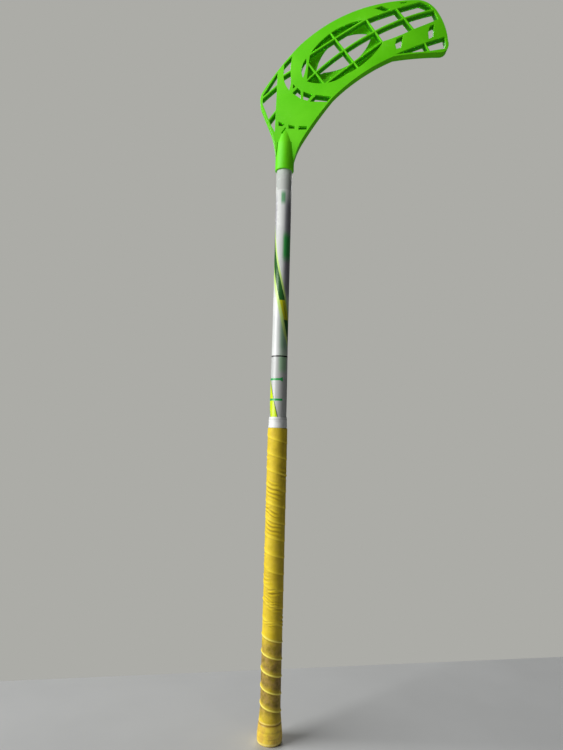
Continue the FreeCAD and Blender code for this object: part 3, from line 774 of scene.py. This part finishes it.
def closing_tape_piece():
    """White band in two laps: fuller low down, with a step where the last lap ends and soft edges."""
    thickness, crease = 0.75, 0.03
    lap_thickness, lap_drop, lap_wave, half_step = 0.22, 3.6, 0.25, 0.18
    low_swell, swell_reach = 0.35, 9.0
    soft_edge, edge_reach = 0.35, 0.7
    angle = ring_angles(TAPE_COLUMNS)[None, :]
    height = np.linspace(TAPE_FOOT, TAPE_TOP, TAPE_ROWS)[:, None]
    lap_end = TAPE_TOP - lap_drop + lap_wave * np.sin(angle + 0.6)
    step = lap_thickness * smooth_step(-height, -lap_end - half_step, -lap_end + half_step)
    fuller = low_swell * smooth_step(-height, -TAPE_FOOT - swell_reach, -TAPE_FOOT)
    creases = crease * np.sin(9 * angle + 0.8 * height) * np.sin(3 * angle)
    edge = np.minimum(height - TAPE_FOOT, TAPE_TOP - height)
    soft = soft_edge * (1 - smooth_step(edge, 0.0, edge_reach))
    outer = around(SHAFT_LOW_R + thickness + step + fuller + creases - soft, angle, height)
    # Darker along both edges and in a line just above the step where the last lap ends
    edge_grime = 0.5 * (1 - smooth_step(edge, 0.0, 0.5))
    grime = np.maximum(0.9 * bell(height, lap_end + 0.25, 0.3), edge_grime)
    return sleeve_piece("closing_tape", outer, TAPE_FOOT, TAPE_TOP, grime=grime)


def on_nose(place):
    """Whether a point lies on the hosel's nose: a cone that tapers from its foot to its blunt top."""
    share = (place.z / MM - NOSE_FOOT) / (NOSE_TOP - NOSE_FOOT)
    radius = HOSEL_R + (NOSE_R - HOSEL_R) * share
    return share > -0.01 and abs(math.hypot(place.x, place.y) / MM - radius) < NOSE_FIT


def mark_faces(work, tree):
    """Tags the faces of the hosel's nose, and gives the value "inner" to walls that look at another wall."""
    inner = work.faces.layers.float.new("inner")
    for face in work.faces:
        face.tag = all(on_nose(point.co) for point in face.verts)
        start = face.calc_center_median() + face.normal * RAY_START * MM
        face[inner] = float(tree.ray_cast(start, face.normal, RAY_REACH * MM)[0] is not None)


def edge_room(edge):
    """How far an edge can be rounded: its length, or the least reach of its neighbours across it."""
    reach = edge.calc_length()
    for point in edge.verts:
        along = edge.other_vert(point).co - point.co
        for link in point.link_edges:
            if link is not edge:
                turn = min(along.angle(link.other_vert(point).co - point.co), math.pi / 2)
                reach = min(reach, link.calc_length() * math.sin(turn))
    return reach


def weigh_edges(work):
    """Gives each sharp edge its share of the rounding, less where room is short.

    The line round the nose stays a plain sharp edge, unless it is very sharp.
    """
    weight = work.edges.layers.float.new("bevel_weight_edge")
    for edge in work.edges:
        turn = edge.calc_face_angle(0.0)
        sides = {face.tag for face in edge.link_faces}
        edge.smooth = len(sides) == 1 or turn > NOSE_ANGLE
        if edge.smooth and turn > BEVEL_ANGLE:
            edge[weight] = min(1.0, ROUNDING_SHARE * edge_room(edge) / (EDGE_ROUNDING * MM))


def settle(piece, tree):
    """Makes the rounded mesh the piece's own, puts stray points back on the solid, and drops slivers."""
    shown = piece.evaluated_get(bpy.context.evaluated_depsgraph_get())
    piece.data = bpy.data.meshes.new_from_object(shown)
    piece.modifiers.clear()
    work = bmesh.new()
    work.from_mesh(piece.data)
    for point in work.verts:
        place, _, _, distance = tree.find_nearest(point.co)
        if distance > STRAY * MM:
            point.co = place
    bmesh.ops.dissolve_degenerate(work, dist=SLIVER * MM, edges=work.edges)
    work.to_mesh(piece.data)
    work.free()


def blade_piece():
    """The blade's own solid, with edges rounded as a mould leaves them and a crisp line round its nose."""
    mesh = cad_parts["blade"].data.copy()
    mesh.name = "blade_moulding"
    work = bmesh.new()
    work.from_mesh(mesh)
    bmesh.ops.remove_doubles(work, verts=work.verts, dist=JOIN * MM)
    bmesh.ops.dissolve_limit(work, angle_limit=FLAT_ANGLE, verts=work.verts, edges=work.edges)
    tree = BVHTree.FromBMesh(work)
    mark_faces(work, tree)
    weigh_edges(work)
    work.to_mesh(mesh)
    work.free()
    mesh.polygons.foreach_set("use_smooth", np.ones(len(mesh.polygons), dtype=bool))
    piece = bpy.data.objects.new("blade_moulding", mesh)
    bpy.context.scene.collection.objects.link(piece)
    rounding = piece.modifiers.new("edge_rounding", "BEVEL")
    rounding.width = EDGE_ROUNDING * MM
    rounding.segments = 2
    rounding.limit_method = "WEIGHT"
    rounding.use_clamp_overlap = False
    settle(piece, tree)
    piece.modifiers.new("even_shading", "WEIGHTED_NORMAL").keep_sharp = True
    return piece


dress(shaft_piece(), "shaft_tube", shaft_lacquer())
dress(knob_piece(), "butt_knob", knob_rubber())
dress(grip_piece(), "grip_wrap", grip_tape())
dress(closing_tape_piece(), "finishing_tape", white_tape())
dress(blade_piece(), "blade", blade_plastic())

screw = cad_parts["blade_screw"]
screw.data.materials.clear()
screw.data.materials.append(screw_steel())


# Stage: pale table top, soft window light from the left, weak fill on the blade, back light and pale room


def table_top():
    """A plain pale table top whose back edge lies behind the stick and runs back a little to the right."""
    reach, back, slant = 1.6, 0.228, 0.26
    corners = np.array([
        (-reach, -reach, 0), (reach, -reach, 0), (reach, back + slant, 0), (-reach, back - slant, 0),
    ])
    floor = mesh_piece("table_top", corners, np.array([(0, 1, 2, 3)]))
    floor.data.materials.append(floor_paint())


def soft_light(name, place, target, width, power, spread=180.0):
    """A square area light that looks at a point, with its beam narrowed where asked."""
    lamp = bpy.data.lights.new(name, "AREA")
    lamp.size = width
    lamp.energy = power
    lamp.spread = math.radians(spread)
    light = bpy.data.objects.new(name, lamp)
    light.location = place
    light.rotation_euler = (Vector(target) - Vector(place)).to_track_quat("-Z", "Y").to_euler()
    bpy.context.scene.collection.objects.link(light)


def room():
    """Even pale background, with a weaker even light from it."""
    world = bpy.data.worlds.new("room")
    world.use_nodes = True
    bpy.context.scene.world = world
    graph = Graph(world.node_tree)
    world.node_tree.nodes.clear()
    seen = graph.add("ShaderNodeBackground", {"Color": tint(172, 172, 167), "Strength": 1.0})
    lit = graph.add("ShaderNodeBackground", {"Color": tint(235, 238, 242), "Strength": 0.05})
    direct = graph.add("ShaderNodeLightPath").outputs["Is Camera Ray"]
    mixed = graph.add("ShaderNodeMixShader", {0: direct, 1: lit.outputs[0], 2: seen.outputs[0]})
    graph.add("ShaderNodeOutputWorld", {"Surface": mixed.outputs[0]})


PHOTO_WIDTH = 563
PHOTO_HEIGHT = 750


def photo_camera():
    """Camera at the photograph's place: level with the grip's top, tilted up and rolled a little."""
    place = Vector((0.0035, -0.8076, 0.4252))
    tilt, roll = math.radians(5.3), math.radians(-1.5)
    forward = Vector((0, math.cos(tilt), math.sin(tilt)))
    right = Vector((1, 0, 0))
    up = right.cross(forward)
    side = right * math.cos(roll) - up * math.sin(roll)
    top = right * math.sin(roll) + up * math.cos(roll)
    camera = bpy.data.objects.new("camera", bpy.data.cameras.new("camera"))
    camera.matrix_world = Matrix((
        (side.x, top.x, -forward.x, place.x),
        (side.y, top.y, -forward.y, place.y),
        (side.z, top.z, -forward.z, place.z),
        (0, 0, 0, 1),
    ))
    # The sensor spans the photograph's longer side, its height, and the focal length equals its width
    camera.data.lens = camera.data.sensor_width * PHOTO_WIDTH / PHOTO_HEIGHT
    bpy.context.scene.collection.objects.link(camera)
    bpy.context.scene.camera = camera


table_top()
soft_light("window", (-4.4, -1.60, 2.05), (0.0, 0.0, 0.55), 3.4, 345.0)
soft_light("blade_fill", (-1.2, -1.3, 1.75), (0.06, 0.0, 1.05), 0.4, 0.28, 16.0)
soft_light("back", (0.0, 1.9, 2.4), (0.0, 0.0, 0.6), 1.4, 26.0)
room()
photo_camera()
bpy.context.scene.view_settings.view_transform = "Standard"
